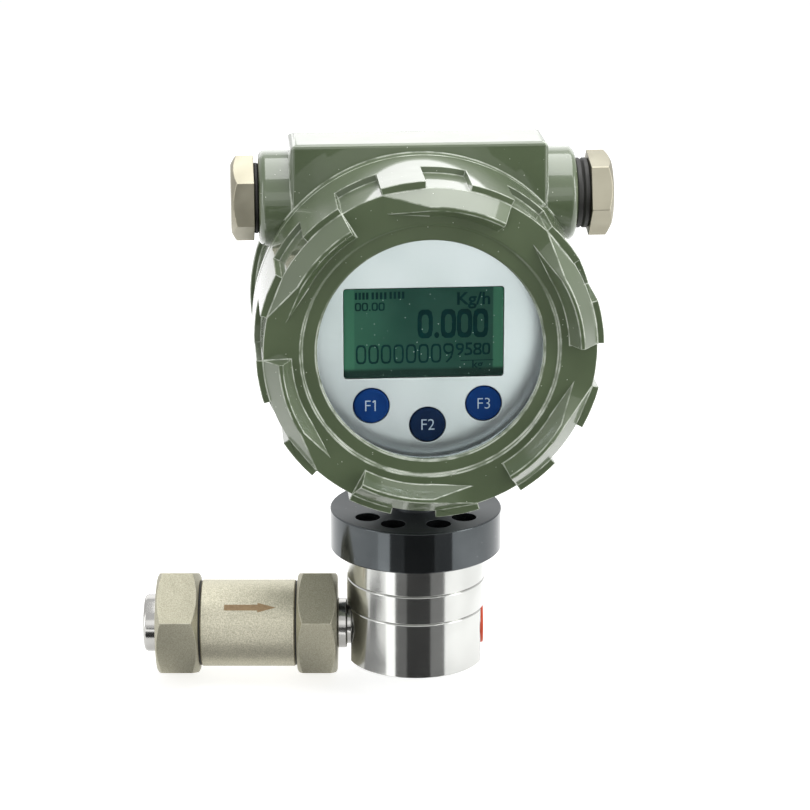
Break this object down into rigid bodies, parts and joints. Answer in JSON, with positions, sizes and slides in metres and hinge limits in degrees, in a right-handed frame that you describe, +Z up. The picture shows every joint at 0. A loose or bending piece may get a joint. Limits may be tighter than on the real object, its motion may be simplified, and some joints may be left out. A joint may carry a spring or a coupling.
{
  "type": "micro gear flow meter",
  "caption": "Small gear flow meter: a stacked stainless gear body with an inlet strainer, and a painted display head on a short neck with screwed covers.",
  "frame": {"origin": "centre of the base block's lower face, on the neck axis", "axes": "+Z up along the neck, -X out of the inlet along the port line, -Y the front, where the head's display faces 4.4 degrees to +X"},
  "size_m": [0.1672, 0.1169, 0.2017],
  "materials": {
    "turned_stainless": "turned and polished stainless steel",
    "blasted_stainless": "bead-blasted stainless steel",
    "bright_stainless": "bright turned stainless steel",
    "black_anodised": "black anodised, glossy",
    "black_steel": "black oxide",
    "gear_steel": "ground steel",
    "bush_bronze": "plain bronze",
    "magnet": "nickel-plated magnet",
    "sieve_cloth": "woven stainless cloth",
    "head_paint": "glossy olive-green enamel",
    "black_rubber": "smooth black rubber",
    "window": "clear toughened glass",
    "retaining_ring": "satin aluminium",
    "silver_plate": "satin silver",
    "display": "dark green display",
    "key_blue": "satin blue",
    "circuit_board": "green lacquered board",
    "post_brass": "plain brass",
    "dark_plastic": "moulded black plastic",
    "plug_orange": "soft orange-red plastic",
    "plug_nickel": "satin nickel plate"
  },
  "bodies": {
    "meter": {"base_block": "turned_stainless", "chamber_plate": "turned_stainless", "top_plate": "turned_stainless", "outlet_hex_end": "blasted_stainless", "strainer_tube": "blasted_stainless", "inlet_hex_end": "blasted_stainless", "inlet_adapter": "bright_stainless", "outlet_nipple": "bright_stainless", "nipple_washer": "bright_stainless", "mounting_flange": "black_anodised", "neck_tube": "black_anodised", "neck_lock_nut": "black_anodised", "stack_screws": "black_steel", "drive_gear_shaft": "gear_steel", "driven_gear_shaft": "gear_steel", "strainer_mesh": "sieve_cloth", "housing": "head_paint", "lower_seal": "black_rubber", "upper_seal": "black_rubber", "strainer_seals": "black_rubber", "left_plug_ring": "black_rubber", "right_plug_rings": "black_rubber", "display_faceplate": "silver_plate", "lcd_panel": "display", "display_board": "circuit_board", "main_board": "circuit_board", "plate_posts": "post_brass", "board_posts": "post_brass", "base_posts": "post_brass", "terminal_block": "dark_plastic", "pickup_sensor": "dark_plastic", "outlet_plug": "plug_orange", "left_cable_plug": "plug_nickel", "right_cable_plug": "plug_nickel"},
    "front_cover": {"front_cover": "head_paint", "window_glass": "window", "glass_gasket": "black_rubber", "glass_retaining_ring": "retaining_ring"},
    "front_seal": {"front_cover_seal": "black_rubber"},
    "rear_cover": {"rear_cover": "head_paint"},
    "rear_seal": {"rear_cover_seal": "black_rubber"},
    "button_f1": {"button_f1": "key_blue"},
    "button_f2": {"button_f2": "key_blue"},
    "button_f3": {"button_f3": "key_blue"},
    "drive_gear": {"drive_gear": "gear_steel", "drive_gear_bush": "bush_bronze", "gear_magnets": "magnet"},
    "driven_gear": {"driven_gear": "gear_steel", "driven_gear_bush": "bush_bronze"}
  },
  "joints": [
    {"name": "front_advance", "type": "slide", "parent": "meter", "child": "front_seal", "axis": [0.0767, -0.9971, 0], "range_m": [0, 0.01201]},
    {"name": "front_turn", "type": "hinge", "parent": "front_seal", "child": "front_cover", "pos_m": [0, 0, 0.132], "axis": [0.0767, -0.9971, 0], "range_deg": [0, 2160]},
    {"name": "rear_advance", "type": "slide", "parent": "meter", "child": "rear_seal", "axis": [-0.0767, 0.9971, 0], "range_m": [0, 0.00601]},
    {"name": "rear_turn", "type": "hinge", "parent": "rear_seal", "child": "rear_cover", "pos_m": [0, 0, 0.132], "axis": [-0.0767, 0.9971, 0], "range_deg": [0, 1080]},
    {"name": "button_f1_press", "type": "slide", "parent": "meter", "child": "button_f1", "axis": [-0.0767, 0.9971, 0], "range_m": [0, 0.0008], "stiffness_N_per_m": 600},
    {"name": "button_f2_press", "type": "slide", "parent": "meter", "child": "button_f2", "axis": [-0.0767, 0.9971, 0], "range_m": [0, 0.0008], "stiffness_N_per_m": 600},
    {"name": "button_f3_press", "type": "slide", "parent": "meter", "child": "button_f3", "axis": [-0.0767, 0.9971, 0], "range_m": [0, 0.0008], "stiffness_N_per_m": 600},
    {"name": "drive_gear_spin", "type": "hinge", "parent": "meter", "child": "drive_gear", "pos_m": [0, -0.00725, 0.02575], "axis": [0, 0, 1], "continuous": true},
    {"name": "driven_gear_spin", "type": "hinge", "parent": "meter", "child": "driven_gear", "pos_m": [0, 0.00725, 0.02575], "axis": [0, 0, 1], "continuous": true}
  ],
  "couplings": [
    {"joint": "front_advance", "follows": "front_turn", "m_per_rad": 0.00031831},
    {"joint": "rear_advance", "follows": "rear_turn", "m_per_rad": 0.00031831},
    {"joint": "driven_gear_spin", "follows": "drive_gear_spin", "ratio": -1}
  ]
}
